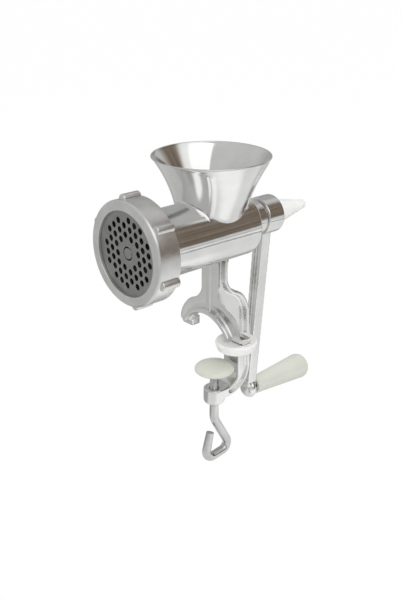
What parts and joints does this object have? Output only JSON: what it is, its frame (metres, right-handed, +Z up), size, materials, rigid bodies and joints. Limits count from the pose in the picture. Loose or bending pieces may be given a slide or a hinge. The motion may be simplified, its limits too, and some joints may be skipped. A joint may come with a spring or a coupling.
{
  "type": "manual meat grinder",
  "caption": "Table-clamp hand meat grinder: flared hopper over a barrel, feed screw and knife behind a perforated plate, lugged ring nut, long crank with grip, bent-rod clamp screw.",
  "frame": {"origin": "on the clamp screw's axis, level with the underside of the feet", "axes": "+Z up along the clamp screw, +X along the barrel from the outlet to the crank, +Y to the far side"},
  "size_m": [0.2205, 0.0938, 0.2771],
  "materials": {
    "polished_aluminium": "polished casting",
    "tumbled_aluminium": "tumbled satin casting",
    "plate_steel": "ground",
    "plated_steel": "bright plating",
    "white_plastic": "smooth moulded",
    "ivory_plastic": "smooth moulded"
  },
  "bodies": {
    "body": {"barrel": "polished_aluminium", "hopper": "polished_aluminium", "clamp_frame": "polished_aluminium", "foot_pad": "white_plastic", "plate_key": "plate_steel"},
    "drive": {"feed_screw": "tumbled_aluminium", "thrust_washer": "white_plastic", "knife_stud": "plate_steel", "knife": "plate_steel", "crank_arm": "polished_aluminium", "grip_spindle": "plated_steel", "grip_washer": "plated_steel"},
    "grip": {"handle_grip": "ivory_plastic"},
    "plate": {"hole_plate": "plate_steel"},
    "ring": {"ring_nut": "tumbled_aluminium"},
    "washer": {"knob_washer": "plated_steel"},
    "knob": {"knob_stud": "plated_steel", "crank_knob": "white_plastic"},
    "pad": {"clamp_pad": "ivory_plastic"},
    "screw": {"clamp_screw": "plated_steel"}
  },
  "joints": [
    {"name": "crank_turn", "type": "hinge", "parent": "body", "child": "drive", "pos_m": [0, 0, 0.093], "axis": [1, 0, 0], "continuous": true},
    {"name": "grip_spin", "type": "hinge", "parent": "drive", "child": "grip", "pos_m": [0.062, 0.01365, -0.07665], "axis": [1, 0, 0], "continuous": true},
    {"name": "plate_slide", "type": "slide", "parent": "body", "child": "plate", "axis": [-1, 0, 0], "range_m": [0, 0.012]},
    {"name": "ring_turn", "type": "hinge", "parent": "plate", "child": "ring", "pos_m": [-0.08, 0, 0.093], "axis": [-1, 0, 0], "range_deg": [0, 1440]},
    {"name": "washer_slide", "type": "slide", "parent": "drive", "child": "washer", "axis": [1, 0, 0], "range_m": [0, 0.01]},
    {"name": "knob_turn", "type": "hinge", "parent": "washer", "child": "knob", "pos_m": [0.07, 0, 0.093], "axis": [1, 0, 0], "range_deg": [0, 2520]},
    {"name": "pad_travel", "type": "slide", "parent": "body", "child": "pad", "axis": [0, 0, 1], "range_m": [-0.011, 0.012]},
    {"name": "clamp_turn", "type": "hinge", "parent": "pad", "child": "screw", "pos_m": [0, 0, -0.06], "axis": [0, 0, 1], "range_deg": [-3168, 3456]}
  ],
  "couplings": [
    {"joint": "plate_slide", "follows": "ring_turn", "m_per_rad": 0.00047746},
    {"joint": "washer_slide", "follows": "knob_turn", "m_per_rad": 0.00019894},
    {"joint": "pad_travel", "follows": "clamp_turn", "m_per_rad": 0.00019894}
  ]
}
